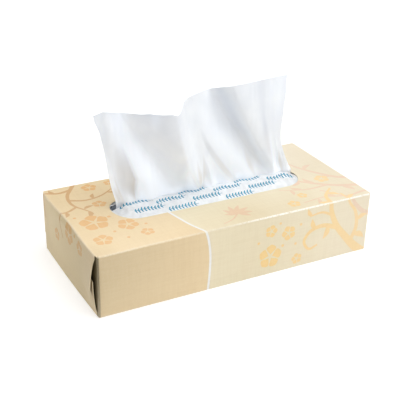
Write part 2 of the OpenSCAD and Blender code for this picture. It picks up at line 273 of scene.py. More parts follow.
def grains(tree, sizes, detail, **more):
    """Random pattern on Object coordinates. Its grains have one size in millimetres, or one along
    each axis."""
    place = add(tree, "ShaderNodeTexCoord").outputs["Object"]
    scale = (1 / (MM * np.broadcast_to(sizes, 3))).tolist()
    drawn = add(tree, "ShaderNodeMapping", {"Vector": place, "Scale": scale})
    inputs = {"Vector": drawn.outputs[0], "Scale": 1.0, "Detail": detail, **more}
    return add(tree, "ShaderNodeTexNoise", inputs).outputs["Fac"]


def tint(tree, base, top, socket, span=(0, 1), share=(0, 1), blend="MIX", mask=1.0):
    """A colour with a tint over it, whose share follows a span of a socket and is held by a mask."""
    spread = add(tree, "ShaderNodeMapRange", {
        "Value": socket, "From Min": span[0], "From Max": span[1], "To Min": share[0], "To Max": share[1],
    })
    held = add(tree, "ShaderNodeMath", {0: spread.outputs[0], 1: mask}, operation="MULTIPLY")
    inputs = {0: held.outputs[0], 6: base, 7: top}
    return add(tree, "ShaderNodeMix", inputs, data_type="RGBA", blend_type=blend).outputs[2]


def surface(tree, relief, strength, depth, inputs):
    """The surface of a material, with a fine relief whose depth is in millimetres."""
    bump = add(tree, "ShaderNodeBump", {"Height": relief, "Strength": strength, "Distance": depth * MM})
    skin = add(tree, "ShaderNodeBsdfPrincipled", {"Normal": bump.outputs["Normal"], **inputs})
    add(tree, "ShaderNodeOutputMaterial", {"Surface": skin.outputs[0]})


def print_material(name, code):
    """Printed and lightly varnished paperboard: mottled ink, worn folds with painted highlight, soft patches
    of painted shade and painted light, painted shade inside the ends, and a fibre bump.
    """
    material, tree = blank_material(name)
    place = add(tree, "ShaderNodeTexCoord").outputs["Object"]
    apart = add(tree, "ShaderNodeSeparateXYZ", {"Vector": place}).outputs
    wear = add(tree, "ShaderNodeAttribute", attribute_name="wear").outputs["Fac"]
    hollow = add(tree, "ShaderNodeAttribute", attribute_name="hollow").outputs["Fac"]
    fibre = grains(tree, 1.111, 3)
    cloud = grains(tree, 38.46, 4)
    ink = tint(tree, colour(code), colour("#e6c795"), cloud, (0.3, 0.75), (0, 0.1), "MULTIPLY")
    ink = tint(tree, ink, colour("#fff7e6"), fibre, (0.45, 0.8), (0, 0.1))
    for sizes in ((22.22, 1.613, 1.613), (1.613, 22.22, 22.22)):
        ink = tint(tree, ink, colour("#f0ebe2"), grains(tree, sizes, 1), (0.42, 0.68), (0, 0.14), "MULTIPLY")
    low, high = TOP_FOLD
    masks = [add(tree, "ShaderNodeMapRange", {
        "Value": apart["Z"], "From Min": low, "From Max": high, "To Min": below, "To Max": 1 - below,
    }).outputs[0] for below in (1, 0)]
    # Soft patches of painted shade and painted light, on the top or on the upright panels
    for centre, near, far, share, panel, cast, blend in PAINTED_LIGHT_AND_SHADE:
        away = add(tree, "ShaderNodeVectorMath", {0: place, 1: centre}, operation="DISTANCE").outputs["Value"]
        ink = tint(tree, ink, colour(cast), away, (near, far), (share, 0), blend, masks[panel])
    # Painted light: the print grows paler towards the right end, where the light falls
    ink = tint(tree, ink, colour("#f8ece0"), apart["X"], (0, 0.11), (0, 0.26))
    # Worn ink and painted highlight, whitened along the folds
    ink = tint(tree, ink, colour("#fffbf2"), fibre, (0.28, 0.5), mask=wear)
    # Painted shade inside the ends and on the strip at the open corner
    ink = tint(tree, ink, colour("#5a5030"), hollow)
    surface(tree, fibre, 0.08, 0.2, {"Base Color": ink, "Roughness": 0.5, "Specular IOR Level": 0.35})
    return material


def board_material(name, code, size):
    """Bare paperboard: the grey-brown back or cut edge, with fibres."""
    material, tree = blank_material(name)
    fibre = grains(tree, size, 6, Roughness=0.7)
    tone = tint(tree, colour(code), colour("#8d7a5a"), fibre, (0.3, 0.7), (0, 0.35))
    surface(tree, fibre, 0.15, 0.2, {"Base Color": tone, "Roughness": 0.85, "Specular IOR Level": 0.2})
    return material


def tissue_material(name):
    """Soft two-ply tissue: white, matt, a little light through it, with fine crepe, painted shade in its
    folds and a painted glow.
    """
    material, tree = blank_material(name)
    place = add(tree, "ShaderNodeTexCoord").outputs["Object"]
    height = add(tree, "ShaderNodeSeparateXYZ", {"Vector": place}).outputs["Z"]
    shade = add(tree, "ShaderNodeAttribute", attribute_name="shade").outputs["Fac"]
    glow = add(tree, "ShaderNodeAttribute", attribute_name="glow").outputs["Fac"]
    tone = tint(tree, colour("#e7ecf3"), colour("#eff3f8"), grains(tree, 16.667, 3), (0.3, 0.7))
    tone = tint(tree, tone, colour("#e6eaf0"), grains(tree, (3.846, 3.846, 71.43), 2), (0.4, 0.75), (0, 0.25))
    # Colour of the painted shade: warmer low down, as if lit by light off the carton's top, cooler higher up
    fold = tint(tree, colour("#d5d1ca"), colour("#ccd2de"), height, (0.07, 0.102))
    # Painted light: the tissue glows by its glow attribute, a little everywhere
    lit = add(tree, "ShaderNodeMapRange", {"Value": glow, "From Max": 1.4, "To Min": 0.05, "To Max": 0.37})
    surface(tree, grains(tree, (1.111, 1.111, 0.3125), 3), 0.12, 0.2, {
        "Base Color": tint(tree, tone, fold, shade), "Roughness": 0.95, "Specular IOR Level": 0.1,
        "Subsurface Weight": 0.2, "Subsurface Radius": (1.0, 1.0, 1.0), "Subsurface Scale": 0.0012,
        "Sheen Weight": 0.15, "Emission Color": colour("#e0eaf8"), "Emission Strength": lit.outputs[0],
    })
    return material


def film_material(name, code, alpha):
    """Thin clear film, or the ink on it: glossy, with small ripples."""
    material, tree = blank_material(name)
    ripple = grains(tree, 4.545, 2, Distortion=0.6)
    haze = add(tree, "ShaderNodeMapRange", {
        "Value": ripple, "From Min": 0.35, "From Max": 0.7,
        "To Min": alpha - 0.06, "To Max": min(1.0, alpha + 0.06),
    })
    surface(tree, ripple, 0.25, 0.4, {
        "Base Color": colour(code), "Roughness": 0.16, "Specular IOR Level": 0.6, "IOR": 1.5,
        "Alpha": haze.outputs[0],
    })
    return material


# Mesh helpers

def in_mm(settings):
    """The sizes of a group of settings in millimetres, with its counts as they are."""
    names = [name for name in settings.bl_rna.properties.keys() if name not in ("rna_type", "name")]
    values = {name: getattr(settings, name) for name in names}
    return SimpleNamespace(**{n: v if isinstance(v, int) else v / MM for n, v in values.items()})


def placed(name, data):
    """A new object at the origin, for a mesh, a light or the camera."""
    obj = bpy.data.objects.new(name, data)
    bpy.context.scene.collection.objects.link(obj)
    return obj


def piece(name, points, faces, materials, indices=None, sharp=40.0):
    """A new object at the origin from points in millimetres, shaded smooth with sharp edges."""
    mesh = bpy.data.meshes.new(name)
    mesh.from_pydata((np.asarray(points) * MM).tolist(), [], faces)
    for material in materials:
        mesh.materials.append(material)
    if indices is not None:
        mesh.polygons.foreach_set("material_index", np.asarray(indices, np.int32))
    mesh.shade_smooth()
    mesh.set_sharp_from_angle(angle=math.radians(sharp))
    mesh.validate()
    mesh.update()
    return placed(name, mesh)


def store(obj, **layers):
    """Keeps numbers on the points of a piece, for its material to read."""
    for name, values in layers.items():
        layer = obj.data.attributes.new(name, "FLOAT", "POINT")
        layer.data.foreach_set("value", np.asarray(values, np.float32).ravel())


def facing(cells, points, outward):
    """Triangles, each turned to face the way that is outward at its corners."""
    faces = []
    for cell in cells:
        a, b, c = (points[v] for v in cell)
        out = outward[list(cell)].sum(0)
        faces.append(cell if np.dot(np.cross(b - a, c - a), out) >= 0 else cell[::-1])
    return faces


def quads(rows, count, wrap=0):
    """Faces between rows of points. With wrap 1 each row is a closed ring."""
    return [
        (i * count + j, i * count + (j + 1) % count, (i + 1) * count + (j + 1) % count, (i + 1) * count + j)
        for i in range(rows - 1) for j in range(count - 1 + wrap)
    ]


def shell(outer, inner, faces, outer_index, inner_index, rim_index):
    """Joins two copies of one patch of faces, its outer and inner side, with a closed rim."""
    count = len(outer)
    back = [tuple(count + v for v in reversed(f)) for f in faces]
    edges = dict.fromkeys(edge for f in faces for edge in zip(f, f[1:] + f[:1]))
    rim = [(b, a, count + a, count + b) for a, b in edges if (b, a) not in edges]
    indices = list(outer_index) + [inner_index] * len(back) + [rim_index] * len(rim)
    return np.vstack([outer, inner]), list(faces) + back + rim, indices


def partition(shapes, lines, keep, drop):
    """Cuts the plane along shapes and lines. Returns points, triangles and, for each triangle,
    the name of the last shape that holds it. Shapes are (name, outline), later ones on top."""
    points, edges, faces = [], [], []
    for _, outline in shapes:
        start = len(points)
        points += [Vector((float(x), float(y))) for x, y in outline]
        x, y = np.array(outline, float).T
        order = list(range(start, len(points)))
        faces.append(order if (x * np.roll(y, -1) - y * np.roll(x, -1)).sum() > 0 else order[::-1])
    for line in lines:
        start = len(points)
        points += [Vector((float(x), float(y))) for x, y in line]
        edges += [(i, i + 1) for i in range(start, len(points) - 1)]
    out, _, cells, _, _, origins = geometry.delaunay_2d_cdt(points, edges, faces, 0, 1e-4, True)
    kept, names = [], []
    for cell, origin in zip(cells, origins):
        held = [shapes[i][0] for i in sorted(origin)]
        if keep in held and drop not in held:
            kept.append(tuple(cell))
            names.append(held[-1])
    used = sorted({v for cell in kept for v in cell})
    at = {v: i for i, v in enumerate(used)}
    flat = np.array([tuple(out[v]) for v in used])
    cells = [tuple(at[v] for v in cell) for cell in kept]
    return flat, cells, names


def smooth(t):
    """Goes from 0 to 1 as t does, with level ends."""
    c = np.clip(t, 0.0, 1.0)
    return c * c * (3 - 2 * c)


def hump(t):
    """Goes from 0 at -1 up to 1 at 0 and back to 0 at 1."""
    return np.cos(np.clip(t, -1, 1) * math.pi / 2)


def bell(t):
    """Falls from 1 at 0 to nearly nothing at 2, on both sides."""
    return np.exp(-t ** 2)


def waves(x, y, seed, count=14, low=0.02, high=0.12):
    """Soft noise from -1 to 1: a sum of waves with seeded directions and lengths."""
    source = np.random.default_rng(seed)
    total = np.zeros_like(x, float)
    for _ in range(count):
        a, k, p = source.uniform(0, math.pi), source.uniform(low, high), source.uniform(0, 2 * math.pi)
        total = total + np.cos((x * math.cos(a) + y * math.sin(a)) * 2 * math.pi * k + p)
    return total / math.sqrt(count)


# Print

def curve_at(knots, u):
    """Points at u on the smooth curve through knots, whose first column is their own u."""
    k = np.clip(np.searchsorted(knots[:, 0], u, side="right") - 1, 0, len(knots) - 2)
    p, a, b, q = knots[np.maximum(k - 1, 0)], knots[k], knots[k + 1], knots[np.minimum(k + 2, len(knots) - 1)]
    span = b[:, :1] - a[:, :1]
    t = (u[:, None] - a[:, :1]) / span
    start = (b - p) / (b[:, :1] - p[:, :1]) * span
    stop = (q - a) / (q[:, :1] - a[:, :1]) * span
    at = (a * (1 + 2 * t) + start * t) * (1 - t) ** 2 + (b * (3 - 2 * t) + stop * (t - 1)) * t * t
    return at[:, 1:]


def spline(points, steps=10):
    """Points of a smooth curve through the given points."""
    last = len(points) - 1
    return curve_at(np.column_stack([np.arange(last + 1.0), points]), np.linspace(0, last, last * steps + 1))


def ribbon(points, start, stop, steps=10):
    """Outline of a stroke along a smooth curve, from one width to another."""
    line = spline(points, steps)
    along = np.gradient(line, axis=0)
    side = np.stack([-along[:, 1], along[:, 0]], 1) / np.linalg.norm(along, axis=1)[:, None]
    half = np.linspace(start, stop, len(line))[:, None] / 2
    return np.vstack([line + side * half, (line - side * half)[::-1]])


def leaf(x, y, length, width, angle, bend=0.12, belly=0.8):
    """Outline of a pointed leaf from its stalk end, turned by an angle in degrees. A higher belly
    moves its widest place towards the tip, as on a petal."""
    t = np.linspace(0, 1, 11)
    half = width / 2 * np.sin(math.pi * t ** belly) ** 0.9
    spine = bend * length * np.sin(math.pi * t)
    left, right = (np.stack([t * length, spine + side * half], 1) for side in (1, -1))
    local = np.vstack([left, right[-2:0:-1]])
    a = math.radians(angle)
    turn = np.array([[math.cos(a), math.sin(a)], [-math.sin(a), math.cos(a)]])
    return local @ turn + (x, y)


def disc(x, y, radius, count=14):
    """Outline of a round dot."""
    a = np.arange(count) * 2 * math.pi / count
    return np.stack([x + radius * np.cos(a), y + radius * np.sin(a)], 1)


def blossom(x, y, radius, turn, petals=5):
    """Outlines of a flower of rounded petals with a gap at its centre."""
    shapes = []
    for k in range(petals):
        angle = turn + 360 * k / petals
        a = math.radians(angle)
        foot = (x + 0.14 * radius * math.cos(a), y + 0.14 * radius * math.sin(a))
        shapes.append(leaf(*foot, 0.86 * radius, 0.84 * radius, angle, 0, 1.5))
    return shapes


def sprig(points, width, size, count, spread=48):
    """Outlines of a curved stalk with leaves in turn on both sides."""
    line = spline(points, 12)
    shapes = [ribbon(points, width, 0.4 * width, 12)]
    for k in range(count):
        at = int((k + 0.8) / (count + 0.4) * (len(line) - 2))
        way = line[at + 1] - line[at]
        angle = math.degrees(math.atan2(way[1], way[0]))
        side = 1 if k % 2 else -1
        length = size * (1 - 0.3 * k / count)
        shapes.append(leaf(*line[at], length, 0.36 * size, angle + side * spread, 0.1 * side))
    way = line[-1] - line[-3]
    shapes.append(leaf(*line[-1], 0.8 * size, 0.3 * size, math.degrees(math.atan2(way[1], way[0]))))
    return shapes


def fan(x, y, size, turn, blades=7):
    """Outlines of a leaf cluster: blades that spread from one point."""
    shapes = []
    for k in range(blades):
        share = k / (blades - 1) - 0.5
        shapes.append(leaf(x, y, size * (1 - 0.9 * share * share), 0.3 * size, turn + 210 * share, 0.06))
    return shapes


def spray(name, strokes=(), leaves=(), fullness=0.36, blossoms=(), dots=()):
    """Everything printed in one colour, as (name, outline): strokes, leaves, blossoms and dots."""
    shapes = [ribbon(points, start, stop, 12) for points, start, stop in strokes]
    shapes += [leaf(x, s, length, fullness * length, angle) for x, s, length, angle in leaves]
    shapes += [petal for flower in blossoms for petal in blossom(*flower)]
    shapes += [disc(*dot) for dot in dots]
    return [(name, shape) for shape in shapes]


def carton_print(wide):
    """The print as (name, outline) in blank coordinates: the cream field, the stripe and sprays
    of leaves and blossoms."""
    curve = spline([(x, s) for s, x in STRIPE], 6)
    right = [(400, 300), (400, -300)]
    field = np.vstack([curve[:1] - (0, 100), curve, curve[-1:] + (0, 60), right])
    shapes = [("cream", field), ("stripe", ribbon([(x, s) for s, x in STRIPE], wide, wide, 6))]
    shapes += spray("twig", (
        ([(-76, 224), (-82, 190), (-92, 168), (-103, 150), (-105, 132), (-98, 116)], 5.0, 1.4),
        ([(-97, 160), (-108, 158), (-121, 163), (-138, 160)], 3.2, 1.2),
        ([(-105, 142), (-93, 137), (-79, 140), (-66, 149)], 2.8, 1.1),
        ([(-104, 128), (-114, 122), (-124, 124), (-136, 118)], 2.6, 1.2),
        ([(-88, 176), (-98, 186), (-104, 200)], 2.8, 1.1),
    ), (
        (-100, 122, 10, 20), (-98, 117, 11, 250), (-86, 138, 9, 70), (-72, 144, 9, 330),
        (-66, 149, 9, 40), (-110, 158, 9, 110), (-114, 122, 9, 250), (-104, 200, 10, 120),
        (-92, 180, 9, 100), (-79, 200, 10, 30),
    ))
    shapes += spray("tan_bloom", blossoms=(
        (-101, 98, 11.5, 20), (-79, 86, 8.5, 50), (-104, 72, 7.5, 5), (-70, 70, 5.5, 30),
        (-86, 126, 6.0, 0), (-82, 158, 6.5, 10), (-126, 104, 8.5, 40), (-127, 82, 6.0, 15),
        (-139, 132, 5.5, 70), (-64, 160, 4.5, 0),
    ), dots=(
        (-88, 102, 1.5), (-92, 80, 1.3), (-66, 82, 1.3), (-86, 68, 1.3), (-112, 110, 1.3),
        (-122, 92, 1.2),
    ))
    shapes += spray("peach", (
        ([(150, 66), (117, 70), (96, 80), (76, 98), (62, 122)], 5.5, 1.2),
        ([(150, 84), (117, 86), (102, 102), (90, 126), (86, 156)], 5.0, 1.2),
        ([(150, 54), (117, 58), (100, 56), (80, 62), (60, 60)], 3.2, 1.0),
        ([(150, 30), (117, 34), (104, 44), (96, 58), (84, 74)], 5.0, 1.4),
        ([(96, 80), (74, 80), (54, 88)], 2.4, 0.8),
    ), (
        (88, 87, 13, 110), (78, 97, 12, 215), (68, 112, 11, 60), (95, 114, 12, 30), (90, 128, 12, 165),
        (88, 142, 11, 40), (108, 93, 11, 150), (72, 82, 10, 140), (62, 84, 9, 260), (105, 72, 11, 300),
        (90, 60, 10, 130), (74, 61, 9, 240),
    ))
    extra = fan(4, 67, 14, 60) + fan(-12, 150, 13, 20)
    extra += sprig([(6, 152), (26, 157), (46, 153), (64, 160)], 1.6, 11, 7)
    extra.append(ribbon([(4, 67), (-4, 60), (-14, 56)], 1.6, 0.8, 8))
    shapes += [("peach", shape) for shape in extra]
    shapes += spray("gold", (
        ([(120, -6), (108, 4), (97, 16), (86, 30), (80, 46), (82, 62), (94, 74)], 8.5, 1.8),
        ([(101, 11), (106, 24), (104, 38), (97, 49), (96, 62)], 4.0, 1.6),
        ([(88, 27), (74, 32), (62, 30), (56, 22), (61, 14), (69, 16)], 4.2, 1.8),
        ([(84, 38), (72, 44), (60, 43)], 2.6, 1.2),
    ), (
        (78, 31, 12, 250), (66, 31, 10, 110), (106, 30, 10, 20), (104, 18, 12, 330), (81, 52, 11, 160),
        (86, 66, 10, 330), (62, 43, 8, 120), (97, 52, 9, 30),
    ), 0.42, (
        (25, 16, 10.5, 12), (41, 33, 6.5, 40), (25, 38, 5.5, 0), (50, 8, 5.0, 30), (52, 62, 5.5, 10),
        (98, 92, 6.5, 20), (66, 72, 4.5, 0),
    ), (
        (36, 23, 1.3), (33, 43, 1.1), (48, 22, 1.2), (52, 38, 1.2), (14, 30, 1.2),
    ))
    return shapes


# Carton

def rectangle(left, right, low, high):
    """Outline of a rectangle."""
    return [(left, low), (right, low), (right, high), (left, high)]


class Carton:
    """The carton's blank and how it folds. X runs along the carton and S round it, from the
    front bottom fold up the front, over the top and down the back, in millimetres."""

    def __init__(self, settings):
        vars(self).update(vars(in_mm(settings)))
        h, d, half = self.height, self.depth, self.length / 2
        self.ring = half - 2 * self.layer - self.fold
        self.bottom = d - self.board - 0.05
        self.foot = -self.bottom - self.seam
        self.end = 2 * h + d - 0.1
        self.side = d / 2 - self.inset
        # The flaps of an end: X of the fold, first and last S of the panel, cut-back at the sides,
        # length, stand-off of the free corner, and 1 for a flap of the top or back, or else -1
        self.flaps = (
            (half, h, h + d, self.inset, self.upper_flap, self.upper_lift, 1),
            (half - self.layer, -d, 0, self.inset, self.lower_flap, self.lower_lift, -1),
            (half - 2 * self.layer, 0, h, self.relief, self.dust_flap, 0, -1),
            (half - 2 * self.layer, h + d, 2 * h + d, self.relief, self.dust_flap, 0, 1),
        )

    def outlines(self):
        """Outlines of the blank: the wrapped panels and the flaps at both ends."""
        r, f = self.ring, self.fold
        # The cut corners of the dust flaps, and the strip that joins the long flaps to their panels
        cut_x, cut_s, strip = 4, 6, 1.4
        shapes = [rectangle(-r, r, self.foot, self.end)]
        for side in (-1, 1):
            for low in (-self.depth, self.height):
                shapes.append(rectangle(side * r, side * (r + strip), low + f, low + self.depth - f))
            for start, low, high, cut, length, lift, _ in self.flaps:
                a, b, tip = low + cut, high - cut, start + length
                outline = [(r, a), (r + cut_x, a), (tip, a + cut_s), (tip, b - cut_s), (r + cut_x, b), (r, b)]
                if lift:
                    outline = rectangle(r, tip, a, b)
                shapes.append([(side * x, s) for x, s in outline])
        return [("tan", shape) for shape in shapes]

    def lines(self):
        """Lines that let the blank bend: across every fold and over the flaps that stand off."""
        h, d, r, f = self.height, self.depth, self.ring, self.fold
        folds = [c + k * f / 3 for c in (-self.bottom, 0, h, h + d) for k in range(-4, 5)]
        lines = [[(-r, s), (r, s)] for s in folds]
        columns = list(np.linspace(-r, r, 25)) + [w * (r - k * 0.45) for w in (-1, 1) for k in (1, 2, 3)]
        lines += [[(x, self.foot), (x, self.end)] for x in columns]
        for low, high, pitch in ((0, h, 8), (h, h + d, 9), (h + d, self.end, 8)):
            lines += [[(-r, s), (r, s)] for s in np.arange(low + pitch, high - 4, pitch)]
        for side in (-1, 1):
            for start, low, high, cut, length, lift, _ in self.flaps:
                a, b, tip = low + cut, high - cut, start + length
                across = [start + k * f / 3 for k in range(-3, 4)] + [start + 1.5, start + 2.1]
                across += list(np.arange(start + 3, tip - 1, 3))
                lines += [[(side * x, a), (side * x, b)] for x in across]
                if lift:
                    lines += [[(side * (r + 0.2), s), (side * tip, s)] for s in np.linspace(a, b, 33)[1:-1]]
        return lines

    def stand_off(self, y, share, front, back):
        """How far a long flap stands off: as in the solid, most at its free corners."""
        def corner(distance):
            return np.clip(1 - distance / self.lift_run, 0, None) ** 2
        past = np.clip((share - 0.04) / 0.96, 0, 1)
        rise = np.sin(past * math.pi / 2) ** 0.6
        return rise * (front * corner(y + self.side) + back * corner(self.side - y))

    def bend(self, e):
        """Position and normal across one fold, in a plane where the panel runs along the first
        axis to 0 and its flap runs down the second. e is the distance past the fold."""
        f = self.fold
        angle = np.clip((e + f) / (2 * f), 0, 1) * math.pi / 2
        across = np.where(e < -f, e, np.where(e > f, 0, -f + f * np.sin(angle)))
        down = np.where(e < -f, 0, np.where(e > f, -e, -f + f * np.cos(angle)))
        return across, down, np.sin(angle), np.cos(angle)

    def wrap(self, s):
        """Y, Z and their normal on the wrapped panels."""
        h, d = self.height, self.depth
        out = np.zeros((len(s), 4))
        way, outward = np.array([(0, -1), (1, 0)])
        inner = self.bottom - d / 2
        for fold, y, z in ((-self.bottom, inner, 0), (0, -d / 2, 0), (h, -d / 2, h), (h + d, d / 2, h)):
            m = s > fold - self.seam - 1
            along, down, n_along, n_down = self.bend(s[m] - fold)
            out[m, :2] = (y, z) + np.outer(along, way) + np.outer(down, outward)
            out[m, 2:] = np.outer(n_along, way) + np.outer(n_down, outward)
            way, outward = -outward, way
        return out

    def fold_points(self, flat):
        """Outer points and outward normals of blank points (X, S)."""
        x, s = flat.T
        h, d = self.height, self.depth
        around = self.wrap(s)
        points, normals = np.column_stack([x, around[:, :2]]), np.column_stack([0 * x, around[:, 2:]])
        side = np.where(x < 0, -1.0, 1.0)
        past = np.abs(x) > self.ring + 1e-3
        front, back = np.where(x < 0, 1.0, 0.0), np.where(x < 0, 0.0, 0.5)
        step = 0.05
        for start, low, high, _, length, lift, way in self.flaps:
            m = past & (s > low) & (s < high)
            e = np.abs(x[m]) - start
            along, down, n_along, n_down = self.bend(e)
            if not lift:
                z = s[m] if way == -1 else 2 * h + d - s[m]
                points[m] = np.stack([side[m] * (start + along), way * (d / 2 + down), z], 1)
                normals[m] = np.stack([side[m] * n_along, way * n_down, 0 * z], 1)
                continue
            y = way * (s[m] - (low + high) / 2)

            def off(yy, ee):
                share = np.clip((ee - 2 * self.fold) / (length - 2 * self.fold), 0, 1)
                return self.stand_off(yy, share, front[m] * lift, back[m] * lift)
            slope_e = (off(y, e + step) - off(y, e - step)) / (2 * step)
            slope_y = (off(y + step, e) - off(y - step, e)) / (2 * step)
            z = h + down if way == 1 else -down
            points[m] = np.stack([side[m] * (start + along + off(y, e)), y, z], 1)
            n = np.stack([side[m] * n_along, -slope_y * n_along, way * (n_down + slope_e * n_along)], 1)
            normals[m] = n / np.linalg.norm(n, axis=1)[:, None]
        return points, normals

    def wear(self, flat):
        """Share of worn ink and painted highlight: on the folds, most along the right half of the front top
        fold and on the right upright folds, where the light falls.
        """
        x, s = flat.T
        h, d = self.height, self.depth

        def near(distance):
            return np.clip(2 - 1.5 * np.abs(distance) / self.fold, 0, 1)
        folds = 0.35 * near(s) + 0.4 * near(s - h - d) + near(s - h) * (0.25 + 0.75 * smooth(x / 50 + 0.4))
        ends = near(np.abs(x) - self.length / 2) * (s > h) * (s < h + d)
        past = x - self.length / 2 + 2 * self.layer
        # Painted highlight on the right upright folds
        upright = np.clip(1.25 - np.abs(past) / self.fold, 0, 1) * (s > 0) * (s < h)
        return np.clip(folds + np.where(x < 0, 0.2, 0.5) * ends + 0.35 * upright, 0, 1)

    def hollow(self, flat):
        """Painted shade inside the end: darker the further a point of a dust flap lies behind the long flaps,
        and painted shade on the strip that the open corner shows."""
        x, s = flat.T
        h = self.height
        dust = ((s > 0) & (s < h)) | (s > h + self.depth)
        past = np.abs(x) - self.length / 2 + 2 * self.layer
        level = np.interp(past, (-0.9, 0.4, 1.6, 4.0), (0.7, 0.5, 0.5, 0.78)) + 0.3 * smooth((s - h + 4) / 3)
        strip = smooth((past + 1.3) / 0.8) * np.minimum(level, 0.95) * (x < 0) * (s < h)
        return np.maximum(smooth((past - 4.5) / 6), strip) * dust


def pulled(points):
    """Pull at the left end of the slit, which takes the mouth's edge, film and sheet with it."""
    p = np.array(points, float)
    x, y, z = p.T
    pull_x, pull_y = 1.6, 2.4
    share = smooth((-x - 60) / 22) * bell(y / 24) * smooth((z - 46) / 4) * (1 - smooth((z - 58) / 34))
    p[:, 0] += pull_x * share
    p[:, 1] += pull_y * share
    return p


def settle(points):
    """Soft warp of the panels: the upright corners are rounder than the folds along the carton,
    the top sags a little at the mouth, and the front and the ends bow."""
    half_x, half_y, tall = 117, 58.5, 51
    top_sag, corner_sag, front_bow, left_bow = 0.35, 0.7, 0.35, 0.8
    p = pulled(points)
    x, y, z = p.T
    reach = np.where((x < 0) & (y < 0), 3.4, 1.2)
    past_x, past_y = np.abs(x) - (half_x + 0.09 - reach), np.abs(y) - (half_y - reach)
    m = (past_x > 0) & (past_y > 0) & (z > 0.6) & (z < tall - 0.6)
    a, b, squareness = past_x[m], past_y[m], 4.85
    out = (a ** squareness + b ** squareness) ** (1 / squareness) / np.hypot(a, b) - 1
    out = out * smooth((z[m] - 0.6) / 2.5) * smooth((tall - 0.6 - z[m]) / 1.5)
    p[m, 0] += np.sign(x[m]) * a * out
    p[m, 1] += np.sign(y[m]) * b * out
    x, y, z = p.T
    across, along = hump(y / half_y), hump(x / half_x)
    top = smooth((z - 44) / 6) * along * across
    front = smooth((-y - 52) / 6) * np.sin(np.clip(z / tall, 0, 1) * math.pi) * along
    end = smooth((np.abs(x) - 100) / 17) * across
    corner = bell((x + half_x) / 26) * bell((y + half_y) / 26) * smooth((z - 10) / 40)
    p[:, 2] -= top_sag * top + corner_sag * corner
    p[:, 1] -= front_bow * front
    p[:, 0] += np.where(x < 0, -left_bow * end, (0.5 + 0.4 * z / tall) * smooth((x - 100) / 17))
    return p


def oblong(run, radius, count=16):
    """Outline with straight sides and round ends, centred, long along X."""
    a = np.linspace(-math.pi / 2, math.pi / 2, count)
    right = np.stack([run + radius * np.cos(a), radius * np.sin(a)], 1)
    return np.vstack([right, -right])


def build_carton(settings):
    """The folded and printed carton as one closed piece."""
    k = Carton(settings)
    mouth = oblong((k.mouth_length - k.mouth_width) / 2, k.mouth_width / 2, 40) + (0, k.height + k.depth / 2)
    shapes = k.outlines() + carton_print(k.stripe) + [("mouth", mouth)]
    flat, cells, names = partition(shapes, k.lines(), "tan", "mouth")
    order = list(COLOURS)
    outer, normals = k.fold_points(flat)
    faces, indices = facing(cells, outer, normals), [order.index(n) for n in names]
    inner = outer - normals * k.board
    points, faces, indices = shell(outer, inner, faces, indices, len(order), len(order) + 1)
    materials = [print_material("print_" + n, COLOURS[n]) for n in order]
    materials.append(board_material("board_back", "#cfc3ab", 1.111))
    materials.append(board_material("board_edge", "#d8caa9", 0.6667))
    obj = piece("carton_board", settle(points), faces, materials, indices)
    store(obj, wear=[k.wear(flat), np.zeros(len(flat))], hollow=[k.hollow(flat)] * 2)
    return obj


# Film

def film_marks():
    """Small blue laurel sprigs in staggered rows, on both sides of the slit."""
    shapes = []
    pitch, reach, half, rise, leaf_pitch, tilt = 50, 68, 13, 0.3, 2.7, 48
    for y, first in ((3.6, -14), (7.4, 15), (11.3, -5), (15.1, 22)):
        for x in (first + pitch * n for n in range(-2, 3) if abs(first + pitch * n) <= reach):
            for row in (-y, y):
                shapes.append(ribbon([(x - half, row), (x, row + rise), (x + half, row)], 0.45, 0.3, 6))
                for foot in (x - half + 0.4 + leaf_pitch * i for i in range(9)):
                    shapes += [leaf(foot, row + rise / 2, 2.5, 1.1, angle, 0) for angle in (tilt, -tilt)]
    return [("mark", shape) for shape in shapes]


def film_height(x, y, f, run, radius):
    """Rise of the film above its glued edge, with wrinkles that run from the lips to the edge."""
    along = np.clip(np.abs(x) - run, 0, None)
    inside = radius - np.hypot(along, y)
    t = np.clip((inside - 1) / (radius - f.slit_half - 1), 0, 1)
    rise = f.lip * np.sin(t * math.pi / 2)
    ripples = waves(x, y * 0.35, 5, 12, 0.03, 0.11) * 0.22 + waves(x, y, 9, 10, 0.08, 0.2) * 0.08
    ends = 0.35 * np.sin(y * 1.3 + 0.05 * x) + 0.35 * waves(x, y, 31, 12, 0.06, 0.2)
    ends = ends * smooth((np.abs(x) - 50) / 20)
    # The film is drawn down behind the mouth's rim at both ends
    dip = bell((inside + 0.3) / 1.8) * smooth((np.abs(x) - 66) / 7) * smooth((y - 0.5) / 4)
    return rise + (ripples + ends) * np.sin(t * math.pi) ** 0.7 - 2.6 * dip


